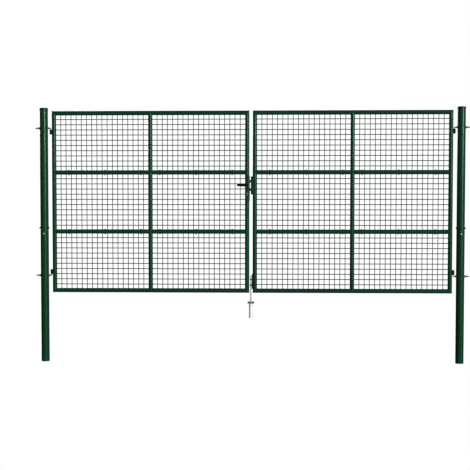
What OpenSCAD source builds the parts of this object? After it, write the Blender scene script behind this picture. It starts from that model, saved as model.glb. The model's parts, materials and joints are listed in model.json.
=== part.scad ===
// Double-leaf mesh swing gate on two round posts.
// Millimetres. X runs along the gate to the right, Y away from the front, Z up.
// The origin is the centre of the left post's foot.

/* [Posts] */
// Outside diameter of a post
post_d = 76; // [60:1:102]
// Wall of a post
post_wall = 2; // [1.5:0.25:3]
// Length of a post, from its foot to the top of the tube
post_h = 2449; // [2300:1:2700]
// Depth of a cap's skirt over the post
cap_skirt = 20; // [10:1:30]
// Wall of a cap's skirt
cap_wall = 1.2; // [1:0.1:2]
// Thickness of a cap's edge over the tube's end
cap_edge = 3; // [2:0.5:6]
// Rise of a cap's dome above its edge
cap_dome = 4; // [2:0.5:12]

/* [Leaf frames] */
// Width of a leaf over its frame tubes
leaf_w = 1907; // [1700:1:2000]
// Height of a leaf over its frame tubes
leaf_h = 1750; // [1600:10:1800]
// Height of a leaf's lower edge above the posts' feet
leaf_z = 672; // [600:4:750]
// Outside diameter of a frame tube
frame_d = 40; // [34:1:42]
// Wall of a frame tube
frame_wall = 1.5; // [1:0.25:2.5]
// Gap between the two leaves
meet_gap = 34; // [34:0.5:40]
// Gap between a post and its leaf
hinge_gap = 40; // [40:0.5:50]
// Space left between curved faces that are welded
weld_gap = 0.3; // [0.2:0.05:0.4]

/* [Mesh] */
// Side of a mesh wire, which stands for a round wire a little thicker
wire_side = 4.4; // [3:0.1:5]
// Spacing of the mesh wires
mesh_pitch = 50; // [40:1:50]
// Least distance from a field's outer wires to the tubes beside them
mesh_margin = 30; // [22:1:40]
// Space between a wire's end and the tube
wire_gap = 0.1; // [0.05:0.05:0.2]

/* [Hinges] */
// Diameter of a hinge bolt and its pin
hinge_bolt_d = 12; // [10:0.5:12]
// Distance of a hinge bolt from the leaf's upper or lower edge
hinge_inset = 164; // [120:1:220]
// Length of the bolt's tail beyond the post
bolt_tail = 42; // [25:1:60]
// Radius of the bend from bolt to pin
bend_r = 10; // [9:0.5:12]
// Outside diameter of a hinge barrel
barrel_d = 22; // [20:0.5:24]
// Length of a hinge barrel
barrel_l = 42; // [30:1:60]
// Distance from the bolt's axis to the barrel's near end
barrel_drop = 15; // [14:0.5:20]
// Length of pin that shows beyond the barrel's far end
pin_tip = 4; // [2:0.5:8]
// Clearance round a hinge pin
pin_clear = 0.1; // [0.05:0.01:0.1]
// Diameter of the shoulder against the post
shoulder_d = 16; // [14:0.5:20]
// Length of the shoulder
shoulder_l = 6; // [4:0.5:8]

/* [Lock] */
// Height of the lock box
lock_h = 240; // [230:1:260]
// Height of the lock box's middle above the leaf's lower edge
lock_mid = 1008; // [990:1:1015]
// Width of the lock box beyond the stile on the meeting side
lock_proud = 1; // [0.5:0.5:2]
// Thickness of the forend strip
forend_t = 3; // [2:0.5:3]
// Width of the forend strip
forend_w = 24; // [20:1:28]
// Height of the lever's axis above the leaf's lower edge
lever_z = 1034; // [1030:1:1045]
// Diameter of the spindle
spindle_d = 9; // [8:0.5:10]
// Length of a lever from its axis
lever_l = 97; // [90:1:120]
// Height and depth of a lever's bar
lever_t = 20; // [9:0.5:22]
// Distance of a lever's bar from the lock box
lever_off = 34; // [28:1:45]
// Rise of the latch's axis above the lever's
latch_rise = 40; // [30:1:42]
// Drop of the dead bolt's axis below the lever's
dead_drop = 40; // [36:1:48]
// Drop of the key cylinder below the lever's axis
key_drop = 77; // [74:1:92]
// Height of the latch and the dead bolt
bolt_h = 26; // [20:1:28]
// Depth of the latch and the dead bolt
bolt_w = 12; // [10:0.5:14]
// Length of latch and dead bolt that shows at rest
bolt_show = 7.5; // [6:0.5:8]
// Travel of the dead bolt into the keep
bolt_throw = 14; // [10:0.5:14]
// Clearance round a sliding bolt
slide_clear = 0.5; // [0.3:0.05:0.6]

/* [Keep] */
// Height of the keep
keep_h = 170; // [160:1:180]
// Height of the keep's middle above the leaf's lower edge
keep_mid = 1034; // [1028:1:1036]
// Reach of the keep from the stile
keep_proud = 18; // [17:0.5:19]
// Depth of the keep, front to back
keep_w = 34; // [28:1:36]
// Depth of a keep's pocket
pocket_x = 14.5; // [12:0.5:15]
// Space round a bolt in its pocket
pocket_clear = 5; // [3:0.5:6]

/* [Drop bolt] */
// Diameter of the drop rod
rod_d = 14; // [12:0.5:14]
// Distance of the drop rod's axis from the stile's edge
rod_off = 17; // [17:0.5:18]
// Height of the drop rod's tip above the ground plate at rest
rod_lift = 0.4; // [0.3:0.1:5]
// Height of the drop rod's top above the leaf's lower edge
rod_top = 164; // [160:1:175]
// Diameter of the grip peg
grip_d = 9; // [7:0.5:10]
// Reach of the grip peg from the rod's axis
grip_l = 60; // [40:1:70]
// Height of the saddle plate
saddle_h = 144; // [130:1:150]
// Height of the saddle plate's lower end above the leaf's lower edge
saddle_z = 38; // [30:1:45]
// Reach of the saddle plate from the stile's edge
saddle_t = 4; // [3:0.5:5]
// Width of the saddle plate
saddle_w = 30; // [26:1:34]
// Height of the upper guide tab above the leaf's lower edge
tab_upper = 126; // [120:1:128]
// Height of the lower guide tab above the leaf's lower edge
tab_lower = 71; // [60:1:80]
// Thickness of a guide tab
tab_t = 8; // [6:0.5:10]
// Outer radius of a guide tab round the rod
tab_r = 11; // [10.5:0.25:11.5]

/* [Ground socket] */
// Height of the ground plate's top above the posts' feet
ground_z = 582; // [560:1:590]
// Width of the ground plate
plate_w = 62; // [50:1:80]
// Depth of the ground plate, front to back
plate_l = 80; // [60:1:100]
// Thickness of the ground plate
plate_t = 12; // [4:0.5:14]
// Space round the drop rod in the ground plate's hole
guide_clear = 0.8; // [0.5:0.1:4]
// Outside diameter of the socket tube
socket_d = 38; // [34:1:42]
// Wall of the socket tube
socket_wall = 3; // [2:0.25:4]
// Length of the socket tube
socket_l = 142; // [120:1:200]

/* [Hidden] */

$fn = 96;
post_r = post_d / 2;
frame_r = frame_d / 2;
rod_r = rod_d / 2;
// Cut that reaches past a face, so that no thin skin is left
over = 1;

left_x = post_r + hinge_gap;
right_x = left_x + leaf_w + meet_gap;
right_post_x = right_x + leaf_w + hinge_gap + post_r;
pin_off = barrel_d / 2 + weld_gap;
left_pin_x = left_x - pin_off;
right_pin_x = right_x + leaf_w + pin_off;
field_w = (leaf_w - 3 * frame_d) / 2;
field_h = (leaf_h - 4 * frame_d) / 3;
rail_step = field_h + frame_d;
// A field takes as many wires as fit between its tubes
spaces_across = floor((field_w - 2 * mesh_margin) / mesh_pitch);
spaces_up = floor((field_h - 2 * mesh_margin) / mesh_pitch);
leaf_top = leaf_z + leaf_h;
upper_hinge_z = leaf_top - hinge_inset;
lower_hinge_z = leaf_z + hinge_inset;

// Lock, measured from the axis of the left leaf's meeting stile
lock_x = left_x + leaf_w - frame_r;
lock_axis_z = leaf_z + lever_z;
forend_x = lock_x + frame_r + lock_proud;
bolt_tip_x = forend_x + forend_t + bolt_show;
// Wall left behind a bolt's slot when the bolt is drawn
slot_back = 3;
bolt_back_x = lock_x - frame_r + slot_back + bolt_show + slide_clear;
latch_z = lock_axis_z + latch_rise;
dead_z = lock_axis_z - dead_drop;
hub_d = 20;
key_d = 17;
key_show = 4;

// Drop bolt, measured from the right leaf's meeting edge
rod_x = right_x - rod_off;
socket_z = ground_z - plate_t - socket_l;

green = [0.12, 0.27, 0.19];
steel = [0.45, 0.45, 0.46];
zinc = [0.75, 0.77, 0.78];
dark = [0.05, 0.05, 0.05];

// Tube of the frame's size that stands on z0
module upright_tube(x, z0, z1) {
    translate([x, 0, z0])
        difference() {
            cylinder(d = frame_d, h = z1 - z0);
            translate([0, 0, -over])
                cylinder(d = frame_d - 2 * frame_wall, h = z1 - z0 + 2 * over);
        }
}

// Tube of the frame's size that lies along X
module level_tube(x0, x1, z) {
    translate([x0, 0, z])
        rotate([0, 90, 0])
            difference() {
                cylinder(d = frame_d, h = x1 - x0);
                translate([0, 0, -over])
                    cylinder(d = frame_d - 2 * frame_wall, h = x1 - x0 + 2 * over);
            }
}

// Block that leaves a 45 degree mitre: solid on the side of sign (sx, sz) from a corner of the frame
module mitre_cut(x, z, turn) {
    side = 4 * frame_d;
    translate([x, 0, z])
        rotate([0, turn, 0])
            translate([0, -side / 2, -side / 2])
                cube([side, side, side]);
}

// Upright frame tube of a leaf, mitred at both ends; inward is 1 where the leaf lies to its right
module stile(x, inward) {
    difference() {
        upright_tube(x, leaf_z, leaf_top);
        mitre_cut(x, leaf_top - frame_r, inward > 0 ? -45 : -135);
        mitre_cut(x, leaf_z + frame_r, inward > 0 ? 45 : 135);
    }
}

// Level frame tube of a leaf, mitred at both ends; upward is 1 at the bottom of the leaf
module outer_rail(x, z, upward) {
    difference() {
        level_tube(x, x + leaf_w, z);
        mitre_cut(x + frame_r, z, upward > 0 ? -135 : 135);
        mitre_cut(x + leaf_w - frame_r, z, upward > 0 ? -45 : 45);
    }
}

// Upright tube cut to fit round the top and bottom rails
module mullion(x) {
    difference() {
        upright_tube(x + leaf_w / 2, leaf_z + frame_r, leaf_top - frame_r);
        for (z = [leaf_z + frame_r, leaf_top - frame_r])
            translate([x + leaf_w / 2 - frame_d, 0, z])
                rotate([0, 90, 0])
                    cylinder(r = frame_r + weld_gap, h = 2 * frame_d);
    }
}

// Two tubes cut to fit between the stiles and the mullion
module inner_rail(x, z) {
    for (start = [x + frame_r, x + leaf_w / 2])
        difference() {
            level_tube(start, start + leaf_w / 2 - frame_r, z);
            for (end = [start, start + leaf_w / 2 - frame_r])
                translate([end, 0, z - frame_d])
                    cylinder(r = frame_r + weld_gap, h = 2 * frame_d);
        }
}

// Welded mesh of one field, with its lower left corner at (x, z)
module mesh_field(x, z) {
    first_x = (field_w - spaces_across * mesh_pitch) / 2;
    first_z = (field_h - spaces_up * mesh_pitch) / 2;
    translate([x, wire_side / 2, z])
        rotate([90, 0, 0])
            linear_extrude(height = wire_side)
                union() {
                    for (i = [0 : spaces_across])
                        translate([first_x + i * mesh_pitch - wire_side / 2, wire_gap])
                            square([wire_side, field_h - 2 * wire_gap]);
                    for (i = [0 : spaces_up])
                        translate([wire_gap, first_z + i * mesh_pitch - wire_side / 2])
                            square([field_w - 2 * wire_gap, wire_side]);
                }
}

// Both fields of one row of a leaf; row 0 is the lowest
module mesh_row(x, row) {
    for (start = [x + frame_d, x + leaf_w / 2 + frame_r])
        mesh_field(start, leaf_z + frame_d + row * rail_step);
}

// Post with the holes for its two hinge bolts
module post(x) {
    difference() {
        translate([x, 0, 0])
            cylinder(d = post_d, h = post_h);
        translate([x, 0, -over])
            cylinder(d = post_d - 2 * post_wall, h = post_h + 2 * over);
        for (z = [lower_hinge_z, upper_hinge_z])
            translate([x - post_d, 0, z])
                rotate([0, 90, 0])
                    cylinder(d = hinge_bolt_d + 2 * pin_clear, h = 2 * post_d);
    }
}

// Push-on cap with a low dome
module post_cap(x) {
    inner = post_r + pin_clear;
    outer = inner + cap_wall;
    dome_r = (outer * outer + cap_dome * cap_dome) / (2 * cap_dome);
    translate([x, 0, post_h])
        union() {
            translate([0, 0, -cap_skirt])
                difference() {
                    cylinder(r = outer, h = cap_skirt + cap_edge);
                    translate([0, 0, -over])
                        cylinder(r = inner, h = cap_skirt + over);
                }
            translate([0, 0, cap_edge])
                intersection() {
                    translate([0, 0, cap_dome - dome_r])
                        sphere(r = dome_r, $fn = 200);
                    cylinder(r = outer + over, h = cap_dome + over);
                }
        }
}

// Hinge bolt of the left post, its pin pointing up or down
module hinge_bolt(z, pin_up) {
    run = left_pin_x - bend_r;
    pin_l = barrel_drop + barrel_l + pin_tip - bend_r;
    translate([0, 0, z])
        mirror([0, 0, pin_up ? 0 : 1])
            union() {
                translate([-post_r - bolt_tail, 0, 0])
                    rotate([0, 90, 0])
                        cylinder(d = hinge_bolt_d, h = post_r + bolt_tail + run);
                translate([post_r + weld_gap, 0, 0])
                    rotate([0, 90, 0])
                        cylinder(d = shoulder_d, h = shoulder_l);
                translate([run, 0, bend_r])
                    rotate([90, 0, 0])
                        rotate([0, 0, -90])
                            rotate_extrude(angle = 90)
                                translate([bend_r, 0])
                                    circle(d = hinge_bolt_d);
                translate([left_pin_x, 0, bend_r])
                    cylinder(d = hinge_bolt_d, h = pin_l);
            }
}

// Barrel of the left leaf with the weld that joins it to the stile
module barrel(z0) {
    stile_x = left_x + frame_r;
    bead_w = barrel_d * 0.6;
    difference() {
        union() {
            translate([left_pin_x, 0, z0])
                cylinder(d = barrel_d, h = barrel_l);
            translate([left_pin_x, -bead_w / 2, z0 + 1])
                cube([stile_x - left_pin_x, bead_w, barrel_l - 2]);
        }
        translate([left_pin_x, 0, z0 - over])
            cylinder(d = hinge_bolt_d + 2 * pin_clear, h = barrel_l + 2 * over);
        translate([stile_x, 0, z0 - over])
            cylinder(r = frame_r + weld_gap, h = barrel_l + 2 * over);
    }
}

// What stands on the left, put in its mirrored place on the right
module on_right() {
    translate([right_post_x, 0, 0])
        mirror([1, 0, 0])
            children();
}

// Space that a latch or dead bolt slides in
module bolt_slot(z) {
    w = bolt_w + 2 * slide_clear;
    h = bolt_h + 2 * slide_clear;
    translate([lock_x - frame_r + slot_back, -w / 2, z - h / 2])
        cube([leaf_w, w, h]);
}

// Hole through the lock box for a turning part
module lock_bore(d, z) {
    translate([lock_x, 2 * frame_d, z])
        rotate([90, 0, 0])
            cylinder(d = d, h = 4 * frame_d);
}

module lock_case() {
    color(green)
        difference() {
            translate([lock_x - frame_r, -frame_r, leaf_z + lock_mid - lock_h / 2])
                cube([frame_d + lock_proud, frame_d, lock_h]);
            bolt_slot(latch_z);
            bolt_slot(dead_z);
            lock_bore(spindle_d + 2 * pin_clear, lock_axis_z);
            lock_bore(key_d + 2 * pin_clear, lock_axis_z - key_drop);
        }
}

module lock_forend() {
    color(zinc)
        difference() {
            translate([forend_x, -forend_w / 2, leaf_z + lock_mid - lock_h / 2])
                cube([forend_t, forend_w, lock_h]);
            bolt_slot(latch_z);
            bolt_slot(dead_z);
        }
}

module key_cylinder() {
    color(zinc)
        translate([lock_x, frame_r + key_show, lock_axis_z - key_drop])
            rotate([90, 0, 0])
                cylinder(d = key_d, h = frame_d + 2 * key_show);
}

// Lever on both sides of the gate, joined by the spindle
module lever_handle() {
    reach = frame_r + lever_off;
    color(dark)
        union() {
            translate([lock_x, reach, lock_axis_z])
                rotate([90, 0, 0])
                    cylinder(d = spindle_d, h = 2 * reach);
            for (side = [-1, 1]) {
                hub_y = side > 0 ? frame_r + weld_gap : -reach;
                translate([lock_x, hub_y + lever_off - weld_gap, lock_axis_z])
                    rotate([90, 0, 0])
                        cylinder(d = hub_d, h = lever_off - weld_gap);
                bar_y = side > 0 ? reach - lever_t : -reach;
                translate([lock_x - lever_l, bar_y, lock_axis_z - lever_t / 2])
                    cube([lever_l, lever_t, lever_t]);
            }
        }
}

// Latch or dead bolt at rest
module sliding_bolt(z) {
    translate([bolt_back_x, -bolt_w / 2, z - bolt_h / 2])
        cube([bolt_tip_x - bolt_back_x, bolt_w, bolt_h]);
}

// Keep for the latch and the dead bolt, with one pocket for each
module keep() {
    w = bolt_w + 2 * pocket_clear;
    h = bolt_h + 2 * pocket_clear;
    color(green)
        difference() {
            translate([right_x - keep_proud, -keep_w / 2, leaf_z + keep_mid - keep_h / 2])
                cube([keep_proud + frame_r, keep_w, keep_h]);
            translate([right_x + frame_r, 0, leaf_z])
                cylinder(r = frame_r + weld_gap, h = leaf_h);
            for (z = [latch_z, dead_z])
                translate([right_x - keep_proud - over, -w / 2, z - h / 2])
                    cube([pocket_x + over, w, h]);
        }
}

// Saddle plate with two guide tabs for the drop rod
module drop_bolt_bracket() {
    color(dark)
        difference() {
            union() {
                translate([right_x - saddle_t, -saddle_w / 2, leaf_z + saddle_z])
                    cube([saddle_t + frame_r / 2, saddle_w, saddle_h]);
                for (z = [tab_lower, tab_upper])
                    translate([rod_x, 0, leaf_z + z - tab_t / 2]) {
                        cylinder(r = tab_r, h = tab_t);
                        translate([0, -tab_r, 0])
                            cube([rod_off, 2 * tab_r, tab_t]);
                    }
            }
            translate([right_x + frame_r, 0, leaf_z])
                cylinder(r = frame_r + weld_gap, h = leaf_h);
            translate([rod_x, 0, leaf_z])
                cylinder(d = rod_d + 2 * slide_clear, h = leaf_h);
        }
}

module drop_rod() {
    top = leaf_z + rod_top;
    color(zinc)
        union() {
            translate([rod_x, 0, ground_z + rod_lift])
                cylinder(r = rod_r, h = top - ground_z - rod_lift);
            translate([rod_x, 0, top - grip_d / 2 - over])
                rotate([90, 0, 0])
                    cylinder(d = grip_d, h = grip_l);
        }
}

module ground_plate() {
    color(steel)
        difference() {
            translate([rod_x - plate_w / 2, -plate_l / 2, ground_z - plate_t])
                cube([plate_w, plate_l, plate_t]);
            translate([rod_x, 0, ground_z - plate_t - over])
                cylinder(r = rod_r + guide_clear, h = plate_t + 2 * over);
        }
}

module ground_socket_tube() {
    color(zinc)
        translate([rod_x, 0, socket_z])
            difference() {
                cylinder(d = socket_d, h = socket_l);
                translate([0, 0, -over])
                    cylinder(d = socket_d - 2 * socket_wall, h = socket_l + 2 * over);
            }
}

// Meeting stile of the left leaf, cut away where the lock box is welded in
module left_meeting_stile() {
    color(green)
        difference() {
            stile(lock_x, -1);
            translate([lock_x - frame_d, -frame_d, leaf_z + lock_mid - lock_h / 2])
                cube([2 * frame_d, 2 * frame_d, lock_h]);
        }
}

color(green) post(0);  // left_post
color(green) post_cap(0);  // left_post_cap
color(green) post(right_post_x);  // right_post
color(green) post_cap(right_post_x);  // right_post_cap
color(steel) hinge_bolt(upper_hinge_z, false);  // left_upper_hinge_bolt
color(steel) hinge_bolt(lower_hinge_z, true);  // left_lower_hinge_bolt
color(steel) on_right() hinge_bolt(upper_hinge_z, false);  // right_upper_hinge_bolt
color(steel) on_right() hinge_bolt(lower_hinge_z, true);  // right_lower_hinge_bolt
ground_plate();
ground_socket_tube();
color(green) stile(left_x + frame_r, 1);  // left_hinge_stile
left_meeting_stile();
color(green) mullion(left_x);  // left_mullion
color(green) outer_rail(left_x, leaf_top - frame_r, -1);  // left_top_rail
color(green) inner_rail(left_x, leaf_z + frame_r + 2 * rail_step);  // left_upper_rail
color(green) inner_rail(left_x, leaf_z + frame_r + rail_step);  // left_lower_rail
color(green) outer_rail(left_x, leaf_z + frame_r, 1);  // left_bottom_rail
color(green) mesh_row(left_x, 2);  // left_top_mesh
color(green) mesh_row(left_x, 1);  // left_middle_mesh
color(green) mesh_row(left_x, 0);  // left_bottom_mesh
color(green) barrel(upper_hinge_z - barrel_drop - barrel_l);  // left_upper_barrel
color(green) barrel(lower_hinge_z + barrel_drop);  // left_lower_barrel
lock_case();
lock_forend();
key_cylinder();
lever_handle();
color(steel) sliding_bolt(latch_z);  // latch_bolt
color(dark) sliding_bolt(dead_z);  // dead_bolt
color(green) stile(right_x + leaf_w - frame_r, -1);  // right_hinge_stile
color(green) stile(right_x + frame_r, 1);  // right_meeting_stile
color(green) mullion(right_x);  // right_mullion
color(green) outer_rail(right_x, leaf_top - frame_r, -1);  // right_top_rail
color(green) inner_rail(right_x, leaf_z + frame_r + 2 * rail_step);  // right_upper_rail
color(green) inner_rail(right_x, leaf_z + frame_r + rail_step);  // right_lower_rail
color(green) outer_rail(right_x, leaf_z + frame_r, 1);  // right_bottom_rail
color(green) mesh_row(right_x, 2);  // right_top_mesh
color(green) mesh_row(right_x, 1);  // right_middle_mesh
color(green) mesh_row(right_x, 0);  // right_bottom_mesh
color(green) on_right() barrel(upper_hinge_z - barrel_drop - barrel_l);  // right_upper_barrel
color(green) on_right() barrel(lower_hinge_z + barrel_drop);  // right_lower_barrel
keep();
drop_bolt_bracket();
drop_rod();
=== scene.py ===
# Double-leaf mesh swing gate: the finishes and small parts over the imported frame.
import json
import math
import random

import bmesh
import bpy
from mathutils import Matrix, Vector

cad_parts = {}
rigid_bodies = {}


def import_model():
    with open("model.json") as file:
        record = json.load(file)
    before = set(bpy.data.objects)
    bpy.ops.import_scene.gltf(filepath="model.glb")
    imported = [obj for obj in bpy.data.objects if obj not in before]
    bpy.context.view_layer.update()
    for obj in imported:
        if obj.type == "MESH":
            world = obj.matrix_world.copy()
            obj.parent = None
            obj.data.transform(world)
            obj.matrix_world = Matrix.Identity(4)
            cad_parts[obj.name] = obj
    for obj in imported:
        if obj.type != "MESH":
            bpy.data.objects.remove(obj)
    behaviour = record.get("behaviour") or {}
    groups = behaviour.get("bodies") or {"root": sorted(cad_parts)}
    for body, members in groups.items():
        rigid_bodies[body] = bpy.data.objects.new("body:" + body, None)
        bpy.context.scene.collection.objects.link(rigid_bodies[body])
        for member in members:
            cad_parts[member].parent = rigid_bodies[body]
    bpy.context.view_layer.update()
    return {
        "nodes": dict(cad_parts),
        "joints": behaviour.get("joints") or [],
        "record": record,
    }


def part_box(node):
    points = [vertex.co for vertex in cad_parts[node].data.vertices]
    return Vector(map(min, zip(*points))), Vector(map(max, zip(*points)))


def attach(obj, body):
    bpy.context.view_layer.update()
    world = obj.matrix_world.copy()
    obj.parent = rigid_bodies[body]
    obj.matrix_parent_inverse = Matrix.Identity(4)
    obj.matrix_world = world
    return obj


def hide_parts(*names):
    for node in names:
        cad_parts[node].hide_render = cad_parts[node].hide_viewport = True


for leftOver in list(bpy.data.objects):
    bpy.data.objects.remove(leftOver)
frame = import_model()
mm = 0.001
random.seed(7)


def middle(node):
    low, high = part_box(node)
    return (low + high) / 2


def halfWidth(node):
    low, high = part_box(node)
    return (high.x - low.x) / 2


def at(x, y, z):
    return Vector((x, y, z))


def inMetres(values, *names):
    return [values[name] * mm for name in names]


xAxis, yAxis, zAxis = at(1, 0, 0), at(0, 1, 0), at(0, 0, 1)
jointAt = {joint["name"]: Vector(joint["pos_m"]) for joint in frame["joints"] if "pos_m" in joint}

viewPoint = {
    "place": (2.168, -9.025, 1.582),
    "lookDown": 2.237,   # degrees below level
    "lookLeft": 2.031,   # degrees left of straight ahead
    "lens": 71.84,
    "film": 36,
    "tone": 0.70,        # below 1 deepens the greys, as a print does
}

camera = bpy.data.objects.new("camera", bpy.data.cameras.new("camera"))
camera.location = viewPoint["place"]
camera.rotation_euler = (math.radians(90 - viewPoint["lookDown"]), 0, math.radians(viewPoint["lookLeft"]))
camera.data.lens = viewPoint["lens"]
camera.data.sensor_width = viewPoint["film"]
bpy.context.scene.collection.objects.link(camera)
bpy.context.scene.camera = camera
bpy.context.scene.view_settings.view_transform = "Standard"
bpy.context.scene.view_settings.gamma = viewPoint["tone"]

studio = {
    "backdrop": 1.0,       # what the lens sees behind the gate
    "room": 0.07,          # soft light from the room's walls
    "roomTint": (0.96, 0.98, 1.0, 1),
    "floorGlow": 0.03,     # light that the pale floor sends up
    "floorReach": 70,
    "floorMiddle": (2.0, 0, -0.0005),
    "lamps": {             # place, aimed at, width, height, watts, lights the matt colour, mirrored in the coat
        "fillLeft": ((-16, -20, 3), (2, 0, 1.2), 12, 8, 700, True, False),
        "tallStrip": ((65, -73.8, 25.5), (2, 0, 1.6), 30, 42, 105000, False, True),
        "lowKey": ((66, -75, 3), (2, 0, 1.6), 30, 12, 119000, True, False),
        "frontSoft": ((7.5, -22, 2.5), (2, 0, 1.4), 10, 9, 2100, True, False),
        "backLight": ((-7, 17, 6), (2, 0, 1.4), 9, 6, 1500, True, True),
        "backFill": ((14, 18, 3), (2, 0, 1.4), 10, 7, 3600, True, False),
        "backLeft": ((-10, 22, 3), (2, 0, 1.4), 9, 7, 1800, True, False),
    },
}


def addLamp(name, place, target, width, height, watts, matt, mirrored):
    lamp = bpy.data.lights.new(name, "AREA")
    lamp.shape = "RECTANGLE"
    lamp.size, lamp.size_y = width, height
    lamp.energy = watts
    holder = bpy.data.objects.new(name, lamp)
    holder.location = place
    holder.rotation_euler = (Vector(target) - Vector(place)).to_track_quat("-Z", "Y").to_euler()
    holder.visible_diffuse = matt
    holder.visible_glossy = mirrored
    bpy.context.scene.collection.objects.link(holder)


for lampName, lampData in studio["lamps"].items():
    addLamp(lampName, *lampData)


def addNode(tree, kind, values=None, **settings):
    node = tree.nodes.new(kind)
    for name, value in settings.items():
        setattr(node, name, value)
    for name, value in (values or {}).items():
        node.inputs[name].default_value = value
    return node


def paintRoom():
    world = bpy.data.worlds.new("studioRoom")
    bpy.context.scene.world = world
    world.use_nodes = True
    world.cycles.sampling_method = "NONE"   # the lamps keep the samples
    tree = world.node_tree
    tree.nodes.clear()
    soft = addNode(tree, "ShaderNodeBackground", {"Color": studio["roomTint"], "Strength": studio["room"]})
    seen = addNode(tree, "ShaderNodeBackground", {"Color": (1, 1, 1, 1), "Strength": studio["backdrop"]})
    path = addNode(tree, "ShaderNodeLightPath")
    mix = addNode(tree, "ShaderNodeMixShader")
    out = addNode(tree, "ShaderNodeOutputWorld")
    tree.links.new(path.outputs["Is Camera Ray"], mix.inputs["Fac"])
    tree.links.new(soft.outputs[0], mix.inputs[1])
    tree.links.new(seen.outputs[0], mix.inputs[2])
    tree.links.new(mix.outputs[0], out.inputs["Surface"])


def layFloor():
    shape = bmesh.new()
    bmesh.ops.create_grid(shape, x_segments=1, y_segments=1, size=studio["floorReach"])
    mesh = bpy.data.meshes.new("paleFloor")
    shape.to_mesh(mesh)
    shape.free()
    floor = bpy.data.objects.new("paleFloor", mesh)
    floor.location = studio["floorMiddle"]
    bpy.context.scene.collection.objects.link(floor)
    paint = bpy.data.materials.new("paleFloor")
    paint.use_nodes = True
    paint.cycles.emission_sampling = "NONE"
    tree = paint.node_tree
    tree.nodes.clear()
    path = addNode(tree, "ShaderNodeLightPath")
    level = addNode(tree, "ShaderNodeMapRange", {"To Min": studio["floorGlow"], "To Max": studio["backdrop"]})
    glow = addNode(tree, "ShaderNodeEmission")
    out = addNode(tree, "ShaderNodeOutputMaterial")
    tree.links.new(path.outputs["Is Camera Ray"], level.inputs["Value"])
    tree.links.new(level.outputs[0], glow.inputs["Strength"])
    tree.links.new(glow.outputs[0], out.inputs["Surface"])
    mesh.materials.append(paint)


paintRoom()
layFloor()
print("room lit")


# drift: scale and detail of the noise that moves the colour
# dull: scale, detail, and how far the roughness falls and rises with it
powder = {
    "drift": (2.4, 3), "dull": (19, 4, 0.02, 0.03), "coatRoughness": 0.17, "specular": 0.24,
    "peel": (0.02, (160, 2)),       # depth in mm, then the noise that lifts it
    "finePeel": (0.01, (700, 1)),
}
plating = {
    "cloudDetail": 5, "cloudRoughness": 0.65, "dullScale": 2.3, "dull": (3, 0.08, 0.1),
    "lineStrength": 0.22, "lineDepth": 0.1, "lines": (900, 3),
}
plastic = {
    "drift": (30, 3), "dull": (160, 2, 0.05, 0.05), "specular": 0.3,
    "pebbleDepth": 0.12, "pebbles": (1500, 2),
}


def grain(tree, place, scale, detail=2.0, stretch=(1, 1, 1), roughness=0.5):
    # noise in the piece's own metres, stretched along an axis where wanted
    spread = addNode(tree, "ShaderNodeMapping", {"Scale": stretch})
    noise = addNode(tree, "ShaderNodeTexNoise", {"Scale": scale, "Detail": detail, "Roughness": roughness})
    tree.links.new(place.outputs["Object"], spread.inputs["Vector"])
    tree.links.new(spread.outputs[0], noise.inputs["Vector"])
    return noise.outputs["Fac"]


def between(tree, factor, low, high):
    # nearly all of the noise lies from 0.3 to 0.7
    ranged = addNode(tree, "ShaderNodeMapRange", {"From Min": 0.3, "From Max": 0.7, "To Min": low, "To Max": high})
    tree.links.new(factor, ranged.inputs["Value"])
    return ranged.outputs[0]


def tint(tree, factor, first, second):
    blend = addNode(tree, "ShaderNodeMix", data_type="RGBA")
    blend.inputs[6].default_value = (*first, 1)
    blend.inputs[7].default_value = (*second, 1)
    tree.links.new(factor, blend.inputs[0])
    return blend.outputs[2]


def newFinish(name, base, shade, roughness, drift, dull, sockets):
    finish = bpy.data.materials.new(name)
    finish.use_nodes = True
    finish.diffuse_color = (*base, 1)
    tree = finish.node_tree
    tree.nodes.clear()
    sockets = {"Base Color": (*base, 1), "Roughness": roughness, **sockets}
    shader = addNode(tree, "ShaderNodeBsdfPrincipled", sockets)
    out = addNode(tree, "ShaderNodeOutputMaterial")
    place = addNode(tree, "ShaderNodeTexCoord")
    tree.links.new(shader.outputs[0], out.inputs["Surface"])
    patches = between(tree, grain(tree, place, *drift), 0.0, 1.0)
    tree.links.new(tint(tree, patches, base, shade), shader.inputs["Base Color"])
    scale, detail, less, more = dull
    worn = between(tree, grain(tree, place, scale, detail), roughness - less, roughness + more)
    tree.links.new(worn, shader.inputs["Roughness"])
    return finish, tree, shader, place


def emboss(tree, shader, place, strength, layers):
    below = None
    for depth, noise in layers:
        bump = addNode(tree, "ShaderNodeBump", {"Strength": strength, "Distance": depth * mm})
        tree.links.new(grain(tree, place, *noise), bump.inputs["Height"])
        if below is not None:
            tree.links.new(below.outputs[0], bump.inputs["Normal"])
        below = bump
    tree.links.new(below.outputs[0], shader.inputs["Normal"])


def powderCoat(name, base, shade, roughness, gloss, peel):
    # baked powder: broad shade drift, orange peel in two sizes, dull patches
    finish, *parts = newFinish(name, base, shade, roughness, powder["drift"], powder["dull"], {
        "Coat Weight": gloss, "Coat Roughness": powder["coatRoughness"], "Specular IOR Level": powder["specular"]})
    emboss(*parts, peel, (powder["peel"], powder["finePeel"]))
    return finish


def platedSteel(name, base, shade, roughness, metallic, cloud, drawn):
    # zinc or bare plating: cloudy patches with drawn lines along one axis
    drift = (cloud, plating["cloudDetail"], (1, 1, 1), plating["cloudRoughness"])
    dull = (cloud * plating["dullScale"], *plating["dull"])
    finish, *parts = newFinish(name, base, shade, roughness, drift, dull, {"Metallic": metallic})
    emboss(*parts, plating["lineStrength"], ((plating["lineDepth"], (*plating["lines"], drawn)),))
    return finish


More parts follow.
